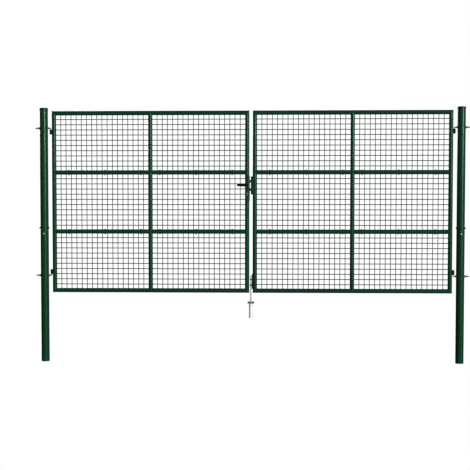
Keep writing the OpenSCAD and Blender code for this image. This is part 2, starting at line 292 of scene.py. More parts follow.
def mouldedPlastic(name, base, shade, roughness, pebble):
    # satin plastic with a fine pebbled skin
    finish, *parts = newFinish(name, base, shade, roughness, plastic["drift"], plastic["dull"], {
        "Specular IOR Level": plastic["specular"]})
    emboss(*parts, pebble, ((plastic["pebbleDepth"], plastic["pebbles"]),))
    return finish


finishes = {
    "coat_green": powderCoat("mossCoat", (0.0155, 0.083, 0.045), (0.0195, 0.093, 0.052), 0.36, 0.30, 0.7),
    "mesh_green": powderCoat("wireCoat", (0.009, 0.044, 0.025), (0.012, 0.052, 0.030), 0.44, 0.2, 0.6),
    "cap_green": mouldedPlastic("capPlastic", (0.012, 0.078, 0.041), (0.016, 0.087, 0.047), 0.36, 0.25),
    "bolt_steel": platedSteel("dullPlate", (0.27, 0.26, 0.26), (0.36, 0.35, 0.35), 0.42, 0.5, 70, (1, 1, 1)),
    "zinc": platedSteel("brightZinc", (0.66, 0.67, 0.68), (0.78, 0.79, 0.79), 0.44, 0.15, 45, (1, 1, 0.06)),
    "dark_steel": powderCoat("darkCoat", (0.012, 0.015, 0.013), (0.018, 0.022, 0.020), 0.46, 0.1, 0.8),
    "handle_black": mouldedPlastic("gripBlack", (0.002, 0.002, 0.002), (0.003, 0.003, 0.003), 0.55, 0.3),
}
barrelDark = powderCoat("barrelDark", (0.011, 0.036, 0.024), (0.014, 0.042, 0.029), 0.42, 0.15, 0.7)
lockGrey = powderCoat("lockGrey", (0.040, 0.066, 0.052), (0.048, 0.075, 0.060), 0.42, 0.15, 0.7)
stopGrey = mouldedPlastic("stopGrey", (0.012, 0.026, 0.018), (0.016, 0.031, 0.022), 0.5, 0.3)
sleeveGrey = platedSteel("sleeveGrey", (0.76, 0.77, 0.77), (0.83, 0.83, 0.83), 0.5, 0.0, 45, (1, 1, 0.06))
plateGrey = platedSteel("plateGrey", (0.28, 0.29, 0.29), (0.36, 0.37, 0.37), 0.45, 0.3, 60, (1, 1, 1))
# near black for the key slot's back and the screws' recesses: painted shade of their depths
paintedRecessShade = mouldedPlastic("paintedRecessShade", (0.004, 0.004, 0.004), (0.006, 0.006, 0.006), 0.7, 0.1)

for part in frame["record"]["subparts"]:
    cadMesh = frame["nodes"][part["node"]].data
    cadMesh.materials.clear()
    cadMesh.materials.append(finishes[part["material_slot"]])
print("finishes mixed")


def facing(direction):
    return Vector(direction).normalized().to_track_quat("Z", "Y").to_matrix()


def circle(radius, count):
    angles = [math.tau * i / count for i in range(count)]
    return [(radius * math.cos(angle), radius * math.sin(angle)) for angle in angles]


def arc(across, up, radius, start, sweep, steps):
    # points of a rounded corner, its middle at across and up, in degrees
    angles = [math.radians(start + sweep * k / steps) for k in range(steps + 1)]
    return [(across + radius * math.cos(angle), up + radius * math.sin(angle)) for angle in angles]


def joinRings(shape, first, second):
    count = max(len(first), len(second))
    for i in range(count):
        j = (i + 1) % count
        if len(first) == 1:
            shape.faces.new((first[0], second[j], second[i]))
        elif len(second) == 1:
            shape.faces.new((first[i], first[j], second[0]))
        else:
            shape.faces.new((first[i], first[j], second[j], second[i]))


def skinRings(shape, rings, closed=False, capped=False):
    for first, second in zip(rings, rings[1:]):
        joinRings(shape, first, second)
    if closed:
        joinRings(shape, rings[-1], rings[0])
    if capped:
        shape.faces.new(rings[0])
        shape.faces.new(rings[-1])


def addTurned(shape, base, direction, profile, sides=32, closed=False):
    # (radius, distance along the axis) pairs swung about the axis
    turn = facing(direction)
    rings = []
    for radius, along in profile:
        spots = circle(radius, sides) if radius > 1e-7 else [(0, 0)]
        rings.append([shape.verts.new(base + turn @ at(u, v, along)) for u, v in spots])
    skinRings(shape, rings, closed)


def addDisc(shape, base, direction, radius, thick, cut=0.0, sides=24):
    # a flat disc whose far rim is cut back
    rim = [(radius, thick - cut), (radius - cut, thick)] if cut else [(radius, thick)]
    addTurned(shape, base, direction, [(0, 0), (radius, 0), *rim, (0, thick)], sides)


def addSweep(shape, points, radii, sides=12, loop=False):
    # a round bar along a line of points
    count = len(points)
    if not isinstance(radii, list):
        radii = [radii] * count
    side = None
    rings = []
    for i, point in enumerate(points):
        before = points[i - 1] if i or loop else point
        after = points[(i + 1) % count] if i + 1 < count or loop else point
        ahead = (after - before).normalized()
        side = ahead.orthogonal() if side is None else side
        side = (side - ahead * side.dot(ahead)).normalized()
        across = ahead.cross(side)
        rings.append([shape.verts.new(point + radii[i] * (side * u + across * v)) for u, v in circle(1, sides)])
    skinRings(shape, rings, capped=not loop)
    if loop:   # the last ring meets the first where their twists agree
        shift = min(range(sides), key=lambda k: (rings[0][k].co - rings[-1][0].co).length)
        joinRings(shape, rings[-1], rings[0][shift:] + rings[0][:shift])


def addNugget(shape, place, size, sides=8):
    # a small squashed blob, as a spot weld leaves
    rings = []
    for k in range(5):
        lift = math.pi * k / 4 - math.pi / 2
        spots = circle(1, sides) if 0 < k < 4 else [(0, 0)]
        rings.append([shape.verts.new(place + at(size.x * math.cos(lift) * u, size.y * math.cos(lift) * v,
                                                 size.z * math.sin(lift))) for u, v in spots])
    skinRings(shape, rings)


def addBead(shape, points, radius, ripple, loop=True, sides=7):
    # weld bead: a line of overlapping drops along the joint
    line = [p.copy() for p in points] + ([points[0].copy()] if loop else [])
    lengths = [0.0]
    for first, second in zip(line, line[1:]):
        lengths.append(lengths[-1] + (second - first).length)
    steps = max(8, round(lengths[-1] / (ripple / 4)))   # four rings to a drop
    spots, radii, k = [], [], 0
    for i in range(steps if loop else steps + 1):
        reach = lengths[-1] * i / steps
        while k + 2 < len(lengths) and lengths[k + 1] < reach:
            k += 1
        share = (reach - lengths[k]) / max(lengths[k + 1] - lengths[k], 1e-9)
        spots.append(line[k].lerp(line[k + 1], share))
        drop = (reach / ripple) % 1.0
        radii.append(radius * (0.78 + 0.30 * math.sin(math.pi * drop) ** 0.6 + random.uniform(-0.05, 0.05)))
    addSweep(shape, spots, radii, sides, loop)


def addNut(shape, base, direction, flats, height, bore=0.0, turned=0.0):
    # hexagon with its corners chamfered, as a nut or as a bolt's head
    turn = facing(direction)
    steps = 36
    inner = flats / 2
    plain = [inner * 0.96] * steps   # round rim of the two faces
    folds = [(math.tau * i / steps - turned + math.pi / 6) % (math.pi / 3) - math.pi / 6 for i in range(steps)]
    hexagon = [inner / math.cos(fold) for fold in folds]
    cut = [(reach - plain[0]) * 0.55 for reach in hexagon]
    foot, top = [0.0] * steps, [height] * steps

    def ring(reaches, levels):
        spots = zip(circle(1, steps), reaches, levels)
        return [shape.verts.new(base + turn @ at(r * c, r * s, z)) for (c, s), r, z in spots]

    rings = [ring(plain, foot), ring(hexagon, cut), ring(hexagon, [height - z for z in cut]), ring(plain, top)]
    if bore:
        hole = [bore / 2] * steps
        rings = [ring(hole, foot)] + rings + [ring(hole, top)]
        joinRings(shape, rings[-1], rings[0])
    else:
        rings = [[shape.verts.new(base)]] + rings + [[shape.verts.new(base + turn @ at(0, 0, height))]]
    skinRings(shape, rings)


def addThread(shape, base, direction, radius, pitch, length, sides=18):
    # a real helix: root, flank, crest, flank, one pitch further at each turn
    turn = facing(direction)
    depth = 0.6 * pitch
    profile = ((0.0, radius - depth), (0.16, radius - depth), (0.5, radius), (0.64, radius))
    rows = 4 * (int(length / pitch) + 2)
    columns = []
    for i in range(sides):
        column = []
        for n in range(rows):
            share, reach = profile[n % 4]
            along = min(max((n // 4 + share + i / sides - 1) * pitch, 0.0), length)
            fade = max(0.0, min(1.0, along / pitch, (length - along) / pitch))
            r = radius - depth + (reach - radius + depth) * fade
            angle = math.tau * i / sides
            column.append(shape.verts.new(base + turn @ at(r * math.cos(angle), r * math.sin(angle), along)))
        columns.append(column)
    for i in range(sides):
        shift = 4 if i + 1 == sides else 0   # the last column meets the first one turn on
        after = columns[(i + 1) % sides]
        for n in range(rows - 1 - shift):
            shape.faces.new((columns[i][n], after[n + shift], after[n + 1 + shift], columns[i][n + 1]))
    root, tip = radius - depth, length + 0.3 * pitch
    addTurned(shape, base, direction, [(0, 0), (root, 0)], sides)
    addTurned(shape, base, direction, [(root, length), (root - 0.4 * pitch, tip), (0, tip)], sides)


def addPrism(shape, outline, place, across, upward, depth):
    # a flat outline pushed through along across x upward
    out = across.cross(upward)
    rings = [[shape.verts.new(place + across * u + upward * v + out * d) for u, v in outline] for d in (0, depth)]
    skinRings(shape, rings, capped=True)


def addCross(shape, outline, place, first, second, turned, depth):
    # the two slots of a cross recess in the plane of first and second
    for angle in (turned, turned + math.pi / 2):
        across = first * math.cos(angle) + second * math.sin(angle)
        addPrism(shape, outline, place, across, second * math.cos(angle) - first * math.sin(angle), depth)


def roundedRect(width, height, radius, steps=6):
    u, v = width / 2 - radius, height / 2 - radius
    corners = ((u, v, 0), (-u, v, 90), (-u, -v, 180), (u, -v, 270))
    return sum((arc(across, up, radius, start, 90, steps) for across, up, start in corners), [])


def addBlock(shape, low, high):
    low, high = Vector(low), Vector(high)
    mid, size = (low + high) / 2, high - low
    bmesh.ops.create_cube(shape, size=1, matrix=Matrix.Translation(mid) @ Matrix.Diagonal((*size, 1)))


def addDome(shape, base, direction, radius, height, rim=0.0, sides=28):
    # low round head on a short straight rim
    steps = 6
    profile = [(0, 0), (radius, 0), (radius, rim)]
    for k in range(1, steps):
        angle = math.pi / 2 * k / steps
        profile.append((radius * math.cos(angle), rim + (height - rim) * math.sin(angle)))
    addTurned(shape, base, direction, profile + [(0, height)], sides)


def newPiece(name, shape, body, slotName, crease=30, bevel=0.0, paint=None):
    bmesh.ops.recalc_face_normals(shape, faces=shape.faces)
    mesh = bpy.data.meshes.new(name)
    shape.to_mesh(mesh)
    shape.free()
    mesh.polygons.foreach_set("use_smooth", [True] * len(mesh.polygons))
    mesh.set_sharp_from_angle(angle=math.radians(crease))
    mesh.materials.append(paint or finishes[slotName])
    piece = bpy.data.objects.new(name, mesh)
    bpy.context.scene.collection.objects.link(piece)
    if bevel:
        edges = piece.modifiers.new("softEdges", "BEVEL")
        edges.width = bevel
        edges.segments = 3
        edges.limit_method = "ANGLE"
        edges.angle_limit = math.radians(40)
        edges.harden_normals = True
    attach(piece, body)
    return piece


# where the frames' tubes and the posts stand
postR = halfWidth("left_post")
posts = {"left": middle("left_post").x, "right": middle("right_post").x}
inward = {"left": 1, "right": -1}
tubeR = halfWidth("left_hinge_stile")
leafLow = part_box("left_hinge_stile")[0].z
railLevels = [middle(f"left_{name}_rail").z for name in ("bottom", "lower", "upper", "top")]
stiles = ("hinge_stile", "mullion", "meeting_stile")
uprights = {side: sorted(middle(f"{side}_{name}").x for name in stiles) for side in posts}


wireMesh = {
    "wire": 5.6,       # thickness of an upright wire with its coat
    "levelWire": 6.2,  # and of a level one
    "pitch": 50.0,
    "upright": 17,     # wires in a field
    "level": 10,
    "press": 0.83,     # how far crossing wires sink together
    "sink": 0.8,       # how far a wire's end goes into the tube
    "footWeld": (0.85, 0.8, 0.45),   # the weld spots' sizes against the wire's
    "sideWeld": (0.45, 0.8, 0.85),
    "crossWeld": (0.62, 0.36, 0.62),
}


def spacing(low, high, count):
    return [(low + high) / 2 + (i - (count - 1) / 2) * wireMesh["pitch"] * mm for i in range(count)]


def weaveField(shape, left, right, low, high):
    thick, levelThick, sink = inMetres(wireMesh, "wire", "levelWire", "sink")
    off = thick / 2 * wireMesh["press"]
    xs, zs = spacing(left, right, wireMesh["upright"]), spacing(low, high, wireMesh["level"])
    for x in xs:
        addSweep(shape, [at(x, -off, low - sink), at(x, -off, high + sink)], thick / 2, 10)
        for z in (low, high):
            addNugget(shape, at(x, -off, z), at(*wireMesh["footWeld"]) * thick)
    for z in zs:
        addSweep(shape, [at(left - sink, off, z), at(right + sink, off, z)], levelThick / 2, 10)
        for x in (left, right):
            addNugget(shape, at(x, off, z), at(*wireMesh["sideWeld"]) * levelThick)
    for x in xs:
        for z in zs:
            addNugget(shape, at(x, 0, z), at(*wireMesh["crossWeld"]) * thick)


for side in posts:
    for row, rowName in enumerate(("bottom", "middle", "top")):
        lattice = bmesh.new()
        low, high = railLevels[row] + tubeR, railLevels[row + 1] - tubeR
        for first, second in zip(uprights[side], uprights[side][1:]):
            weaveField(lattice, first + tubeR, second - tubeR, low, high)
        wires = newPiece(f"{side}_{rowName}_wires", lattice, side + "_leaf", "mesh_green", crease=60)
        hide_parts(f"{side}_{rowName}_mesh")
print("mesh woven")


frameWeld = {"bead": 1.9, "ripple": 3.4, "steps": 72}


def mitreLine(cornerX, cornerZ, slant):
    return [at(cornerX + u, v, cornerZ + slant * u) for u, v in circle(tubeR, frameWeld["steps"])]


def saddleLine(center, along, out):
    # where a tube along one axis meets an equal tube square to it
    return [center + yAxis * u + along * v + out * abs(v) for u, v in circle(tubeR, frameWeld["steps"])]


for side in posts:
    beads = bmesh.new()
    bead, ripple = inMetres(frameWeld, "bead", "ripple")
    xs = uprights[side]
    for x, slant in ((xs[0], 1), (xs[2], -1)):
        addBead(beads, mitreLine(x, railLevels[0], slant), bead, ripple)
        addBead(beads, mitreLine(x, railLevels[3], -slant), bead, ripple)
    for z in railLevels[1:3]:
        for x, out in ((xs[0], 1), (xs[1], -1), (xs[1], 1), (xs[2], -1)):
            addBead(beads, saddleLine(at(x, 0, z), zAxis, xAxis * out), bead, ripple)
    addBead(beads, saddleLine(at(xs[1], 0, railLevels[0]), xAxis, zAxis), bead, ripple)
    addBead(beads, saddleLine(at(xs[1], 0, railLevels[3]), xAxis, -zAxis), bead, ripple)
    newPiece(side + "_frame_welds", beads, side + "_leaf", "coat_green", crease=70)
print("frames welded")


railBolt = {
    "from": (91, 441, 790),   # distances from the mullion, to both sides
    "topSink": 0.6, "footSink": 0.9,
    "headR": 6.6, "headH": 4.6, "headRim": 0.8,
    "washerR": 7.0, "washerT": 1.4,
    "flats": 10.0, "nutH": 5.0,
    "shankR": 3.0, "endL": 2.2, "endCut": 0.7,
}


def boltRail(shape, x, z, turned):
    topSink, footSink, washerR, washerT = inMetres(railBolt, "topSink", "footSink", "washerR", "washerT")
    flats, nutH, shankR, endL, cut = inMetres(railBolt, "flats", "nutH", "shankR", "endL", "endCut")
    top, foot = at(x, 0, z + tubeR - topSink), at(x, 0, z - tubeR + footSink)
    addDisc(shape, top, zAxis, washerR, washerT)
    addDome(shape, top + zAxis * washerT, zAxis, *inMetres(railBolt, "headR", "headH", "headRim"))
    addDisc(shape, foot, -zAxis, washerR, washerT)
    nutAt = foot - zAxis * washerT
    addNut(shape, nutAt, -zAxis, flats, nutH, turned=turned)
    addTurned(shape, nutAt - zAxis * nutH, -zAxis, [
        (shankR, 0), (shankR, endL - cut), (shankR - cut, endL), (0, endL)], 18)


for side in posts:
    fixings = bmesh.new()
    for z in railLevels[1:3]:
        for reach in railBolt["from"]:
            for way in (-1, 1):
                boltRail(fixings, uprights[side][1] + way * reach * mm, z, reach)
    newPiece(side + "_rail_bolts", fixings, side + "_leaf", "coat_green", crease=28)
print("rails bolted")


postCap = {
    "plug": 8.0,      # thickness of the cap's top
    "play": 0.05,
    "skirt": ((0.35, 0.0), (0.0, 0.4), (0.0, 1.8), (0.3, 2.1), (0.3, 2.6), (0.0, 2.9)),   # inset, height
    "round": 2.6, "roundTurn": 77.4, "roundSteps": 6,
    "dome": 3.9, "domeSteps": 9,
    "gateR": 3.2, "gateSink": 0.5, "gateLip": 0.05,
}


def turnCap(side):
    low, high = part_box(side + "_post_cap")
    outer, tall = halfWidth(side + "_post_cap"), high.z - low.z
    dome, roundR, play, plug = inMetres(postCap, "dome", "round", "play", "plug")
    gateR, sink, lip = inMetres(postCap, "gateR", "gateSink", "gateLip")
    profile = [(0, tall - plug), (postR + play, tall - plug), (postR + play, 0)]
    profile += [(outer - inset * mm, height * mm) for inset, height in postCap["skirt"]]
    profile += arc(outer - roundR, tall - dome - roundR, roundR, 0, postCap["roundTurn"], postCap["roundSteps"])
    startR, startZ = profile[-1]
    for k in range(1, postCap["domeSteps"]):
        r = startR + (gateR - startR) * k / postCap["domeSteps"]
        profile.append((r, startZ + (tall - startZ) * (1 - (r / startR) ** 2)))
    profile += [(gateR, tall - lip), (gateR - sink, tall - sink), (0, tall - sink)]
    shape = bmesh.new()
    addTurned(shape, at(middle(side + "_post_cap").x, 0, low.z), zAxis, profile, 96)
    cap = newPiece(side + "_cap_moulding", shape, "posts", "cap_green", crease=38)
    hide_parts(side + "_post_cap")


crossBolt = {
    "level": 1297.0,       # height of the bolt through the post
    "flats": 13.0, "ends": ((1, 5.2, 0.3), (-1, 6.4, 0.1)),   # side, height of the head or nut, its turn
    "washerR": 8.0, "washerT": 1.5, "rimCut": 0.3, "sink": 0.9,
    "shankR": 4.0, "pitch": 1.25, "endL": 7.0,
}
frontScrew = {
    "level": 1243.0, "sink": 0.8, "washerR": 7.6, "washerT": 1.9, "rimCut": 0.4,
    "headR": 6.4, "headH": 4.2, "headRim": 0.7,
    "slotW": 1.5, "slotL": 4.464, "slotBlunt": 0.8, "slotTurn": 0.35, "slotSink": 0.25, "slotDepth": 0.28,
}


def boltPost(side):
    steel, dark = bmesh.new(), bmesh.new()
    level, flats, sink, washerR, washerT, rim = inMetres(
        crossBolt, "level", "flats", "sink", "washerR", "washerT", "rimCut")
    for end, tall, turned in crossBolt["ends"]:
        way = inward[side] * end
        seat = at(posts[side] + way * (postR - sink), 0, level)
        nutAt = seat + xAxis * way * (washerT + sink)
        addDisc(dark, seat, xAxis * way, washerR, washerT + sink, rim, 32)
        addNut(dark, nutAt, xAxis * way, flats, tall * mm, turned=turned)
    # the thread shows beyond the nut, the last of the two
    threadAt = nutAt + xAxis * way * tall * mm
    addThread(steel, threadAt, xAxis * way, *inMetres(crossBolt, "shankR", "pitch", "endL"))
    newPiece(side + "_cross_bolt_heads", dark, "posts", "dark_steel", crease=28)
    newPiece(side + "_cross_bolt_end", steel, "posts", "bolt_steel", crease=40)


def screwPost(side):
    shape, shade = bmesh.new(), bmesh.new()
    level, sink, washerR, washerT, rim = inMetres(frontScrew, "level", "sink", "washerR", "washerT", "rimCut")
    headR, headH, headRim = inMetres(frontScrew, "headR", "headH", "headRim")
    long, wide, slotSink, slotDepth = inMetres(frontScrew, "slotL", "slotW", "slotSink", "slotDepth")
    face = at(posts[side], -postR + sink, level)
    addDisc(shape, face, -yAxis, washerR, washerT, rim, 32)
    headAt = face - yAxis * washerT
    addDome(shape, headAt, -yAxis, headR, headH, headRim)
    # the recess is a near-black cross standing just over the head's crown, painted shade in place of a cut recess
    crown = headAt - yAxis * (headH - slotSink)
    half, thin, blunt = long / 2, wide / 2, long / 2 * frontScrew["slotBlunt"]
    outline = [(half, 0), (blunt, thin), (-blunt, thin), (-half, 0), (-blunt, -thin), (blunt, -thin)]
    addCross(shade, outline, crown, xAxis, zAxis, frontScrew["slotTurn"], slotDepth)
    newPiece(side + "_front_screw", shape, "posts", "zinc")
    newPiece(side + "_screw_recess_shade", shade, "posts", "dark_steel", paint=paintedRecessShade)


for side in posts:
    turnCap(side)
    boltPost(side)
    screwPost(side)
print("posts capped and bolted")


hinge = {
    "rodR": 6.0, "bendR": 10.0, "bendSteps": 10, "tipCut": 1.2,
    "shoulderR": 8.0,                # collar against the post in the solid
    "pitch": 1.75, "threadSink": 1.4, "threadTip": 0.6,
    "nuts": ((-1, 19.0, 10.5), (1, 18.0, 6.5)),   # side of the post, flats, height
    "nutTurn": (0.5, 0.2),                        # of those that face left and right
    "nutBite": 0.6, "washerR": 12.0, "washerT": 2.4, "washerCut": 0.4, "sink": 1.9,
    "play": 0.1, "barrelCut": 0.8, "boreCut": 0.5,
    "webY": 4.5, "webEnd": 1.5, "barrelSink": 2.0, "stileSink": 2.5,   # the fill between barrel and stile
    "beadY": 5.6, "beadEnd": 2.5, "beadSink": 0.5, "weld": 2.6, "ripple": 3.4,
}


def bendBolt(side, level):
    node = f"{side}_{level}_hinge_bolt"
    low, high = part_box(node)
    way = inward[side]
    center = posts[side]
    pinX = jointAt[side + "_leaf_swing"].x
    tailX = low.x if side == "left" else high.x
    down, endZ, tipZ = (-1, high.z, low.z) if level == "upper" else (1, low.z, high.z)
    rodR, bendR, cut, shoulderR = inMetres(hinge, "rodR", "bendR", "tipCut", "shoulderR")
    pitch, threadSink, threadTip, bite = inMetres(hinge, "pitch", "threadSink", "threadTip", "nutBite")
    washerR, washerT, rim, sink = inMetres(hinge, "washerR", "washerT", "washerCut", "sink")
    axisZ = endZ + down * shoulderR
    rod = bmesh.new()
    # plain rod from inside the post, round the bend and along the pin
    bendX = pinX - way * bendR
    line = [at(center, 0, axisZ), at(bendX, 0, axisZ)]
    for k in range(1, hinge["bendSteps"] + 1):
        angle = math.pi / 2 * k / hinge["bendSteps"]
        line.append(at(bendX + way * bendR * math.sin(angle), 0, axisZ + down * bendR * (1 - math.cos(angle))))
    line += [at(pinX, 0, tipZ - down * cut), at(pinX, 0, tipZ)]
    addSweep(rod, line, [rodR] * (len(line) - 1) + [rodR - cut], 24)
    # the threaded tail starts inside the post's wall
    outerAt = at(center - way * (postR - threadSink), 0, axisZ)
    addThread(rod, outerAt, -xAxis * way, rodR, pitch, abs(tailX - outerAt.x) - threadTip, sides=22)
    newPiece(f"{side}_{level}_bent_rod", rod, "posts", "bolt_steel", crease=40)
    nuts = bmesh.new()
    thick = washerT + sink
    for end, flats, tall in hinge["nuts"]:
        out = end * way
        seat = at(center + out * (postR - sink), 0, axisZ)
        washer = [(rodR, 0), (washerR, 0), (washerR, thick - rim), (washerR - rim, thick), (rodR, thick)]
        addTurned(nuts, seat, xAxis * out, washer, 36, closed=True)
        addNut(nuts, seat + xAxis * out * thick, xAxis * out, flats * mm, tall * mm,
               bore=2 * rodR - bite, turned=hinge["nutTurn"][out > 0])
    piece = newPiece(f"{side}_{level}_hinge_nuts", nuts, "posts", "bolt_steel", crease=28)
    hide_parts(node)


def weldBarrel(side, level):
    node = f"{side}_{level}_barrel"
    low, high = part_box(node)
    way = inward[side]
    pinX = jointAt[side + "_leaf_swing"].x
    barrelR = (high.y - low.y) / 2
    stileX = middle(side + "_hinge_stile").x
    tall = high.z - low.z
    rodR, play, cut, inCut = inMetres(hinge, "rodR", "play", "barrelCut", "boreCut")
    webY, webEnd, barrelSink, stileSink = inMetres(hinge, "webY", "webEnd", "barrelSink", "stileSink")
    beadY, beadEnd, beadSink, weld, ripple = inMetres(hinge, "beadY", "beadEnd", "beadSink", "weld", "ripple")
    bore = rodR + play
    shape = bmesh.new()
    addTurned(shape, at(pinX, 0, low.z), zAxis, [
        (bore + inCut, 0), (barrelR - cut, 0), (barrelR, cut), (barrelR, tall - cut), (barrelR - cut, tall),
        (bore + inCut, tall), (bore, tall - inCut), (bore, inCut)], 48, closed=True)
    # fill between barrel and stile, and one bead down each side
    webLeft, webRight = sorted((pinX + way * (barrelR - barrelSink), stileX - way * (tubeR - stileSink)))
    addBlock(shape, (webLeft, -webY, low.z + webEnd), (webRight, webY, high.z - webEnd))
    beadX = stileX - way * (tubeR - beadSink)
    for y in (-beadY, beadY):
        foot, head = at(beadX, y, low.z + beadEnd), at(beadX, y, high.z - beadEnd)
        addBead(shape, [foot, (foot + head) / 2, head], weld, ripple, loop=False, sides=10)
    name = f"{side}_{level}_hinge_barrel"
    piece = newPiece(name, shape, side + "_leaf", "coat_green", crease=36, paint=barrelDark)
    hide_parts(node)


for side in posts:
    for level in ("upper", "lower"):
        bendBolt(side, level)
        weldBarrel(side, level)
print("hinges made")


lockBox = {
    "corner": 8.0, "slim": 0.4, "weld": 1.7, "ripple": 3.2,
    "plateW": 22.0, "plateT": 2.0, "plateTop": 14.0, "plateFoot": 30.0, "plateRound": 10.5, "plateShift": 4.0,
    "screwR": 3.4, "screwH": 1.5, "screwRim": 0.3, "screwTop": 9.0, "screwFoot": 6.5,
    "plateSink": 0.8, "roseSink": 0.6, "screwLift": 1.0,   # into or out from the round of the stile
    "rose": ((0, 0), (14.5, 0), (14.5, 2.2), (13.3, 3.6), (10.8, 4.4), (10.6, 5.0), (0, 5.0)),   # radius, height
    "cylR": 8.5, "cylTongue": 5.0, "cylDrop": 24.5,
    "plug": ((6.4, 0.0), (6.4, 0.7), (5.9, 1.1)),   # radius, height over the cylinder's face
    "keyW": 2.1, "keyH": 8.4, "keyDepth": 2.2, "backDepth": 1.2, "backT": 0.4,
    "boltTip": 3.4,   # bolts reach this much further than their plain solids
    "latchNose": 7.0, "latchTip": ((1.2, 0.45), (0, 0.75)),   # distance to the end, share of the half height
    "deadRound": 2.2,
}

caseLow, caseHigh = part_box("lock_case")
lockX = uprights["left"][2]
leverZ = jointAt["lever_turn"].z
cylinderMid = middle("key_cylinder")


def makeLockCase():
    # the stile's round goes on behind, with a flat box towards the other leaf
    corner, slim, weld, ripple = inMetres(lockBox, "corner", "slim", "weld", "ripple")
    half = caseHigh.y - slim
    outline = [(u, v * half / tubeR) for u, v in arc(lockX, 0, tubeR, 90, 180, 20)]
    outline += arc(caseHigh.x - corner, corner - half, corner, 270, 90, 5)
    outline += arc(caseHigh.x - corner, half - corner, corner, 0, 90, 5)
    shape = bmesh.new()
    addPrism(shape, outline, at(0, 0, caseLow.z), xAxis, yAxis, caseHigh.z - caseLow.z)
    case = newPiece("lock_housing", shape, "left_leaf", "coat_green", bevel=0.5 * mm)
    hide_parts("lock_case")
    welds = bmesh.new()
    for z in (caseLow.z, caseHigh.z):
        line = [at(lockX + u, v, z) for u, v in circle(tubeR - slim, 60)]
        addBead(welds, line, weld, ripple)
    newPiece("lock_welds", welds, "left_leaf", "coat_green", crease=70)


def makeLockPlates():
    plates, screws = bmesh.new(), bmesh.new()
    wide, thick, roundR, shift, sink = inMetres(
        lockBox, "plateW", "plateT", "plateRound", "plateShift", "plateSink")
    plateTop, plateFoot, screwTop, screwFoot = inMetres(lockBox, "plateTop", "plateFoot", "screwTop", "screwFoot")
    screwLift, roseSink, *screw = inMetres(lockBox, "screwLift", "roseSink", "screwR", "screwH", "screwRim")
    foot, top, plateX = caseLow.z + plateFoot, caseHigh.z - plateTop, lockX + shift
    outline = roundedRect(wide, top - foot, roundR, 8)
    rose = [(radius * mm, lift * mm) for radius, lift in lockBox["rose"]]
    for face in (-1, 1):
        base = at(plateX, face * (tubeR - sink), (foot + top) / 2)
        addPrism(plates, outline, base, xAxis * -face, zAxis, thick)
        for z in (foot + screwFoot, top - screwTop):
            addDome(screws, at(plateX, face * (tubeR + screwLift), z), yAxis * face, *screw, 20)
        addTurned(plates, at(lockX, face * (tubeR - roseSink), leverZ), yAxis * face, rose, 40)
    newPiece("lock_escutcheons", plates, "left_leaf", "coat_green", bevel=0.35 * mm, paint=lockGrey)
    newPiece("escutcheon_screws", screws, "left_leaf", "dark_steel")


def makeKeyCylinder():
    low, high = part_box("key_cylinder")
    r, tongue, drop, keyW, keyH = inMetres(lockBox, "cylR", "cylTongue", "cylDrop", "keyW", "keyH")
    backDepth, backT = inMetres(lockBox, "backDepth", "backT")
    spread = math.degrees(math.asin(tongue / r))
    outline = arc(0, 0, r, spread - 90, 360 - 2 * spread, 24)
    outline += arc(0, tongue - drop, tongue, 180, 180, 8)
    slot = []
    for c, s in circle(1, 32):
        grow = min(keyW / 2 / max(abs(c), 1e-6), keyH / 2 / max(abs(s), 1e-6))
        slot.append((grow * c, grow * s))
    # a near-black back a little larger than the slot, painted shade of the keyhole's depth
    back = [(u * keyW * 0.65, v * keyH * 0.6) for u, v in ((1, 1), (-1, 1), (-1, -1), (1, -1))]
    shape, dark = bmesh.new(), bmesh.new()
    addPrism(shape, outline, at(cylinderMid.x, high.y, cylinderMid.z), xAxis, zAxis, high.y - low.y)
    for face, faceY in ((-1, low.y), (1, high.y)):
        base = at(cylinderMid.x, faceY, cylinderMid.z)
        out = yAxis * face
        loops = [(circle(radius * mm, 32), lift) for radius, lift in lockBox["plug"]]
        loops += [(slot, lockBox["plug"][-1][1]), (slot, -lockBox["keyDepth"])]
        skinRings(shape, [[shape.verts.new(base + out * lift * mm + xAxis * u + zAxis * v) for u, v in loop]
                          for loop, lift in loops])
        addPrism(dark, back, base - out * backDepth, xAxis, zAxis, backT)
    barrel = newPiece("lock_cylinder", shape, "left_leaf", "bolt_steel")
    newPiece("keyway_shade", dark, "left_leaf", "dark_steel", paint=paintedRecessShade)
    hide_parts("key_cylinder")


leverGrip = {
    "neckR": 8.5, "neckThin": 0.88, "elbow": 14.0, "wide": 17.0, "thick": 21.0, "square": 0.8,
    "taper": 0.17, "lift": 1.5, "tipTurn": 5.5, "waist": 0.10, "blunt": 0.45,
    "spindleR": 4.4, "root": 2.5, "spindleOut": 4.0,   # the last two reach out from the round of the stile
}


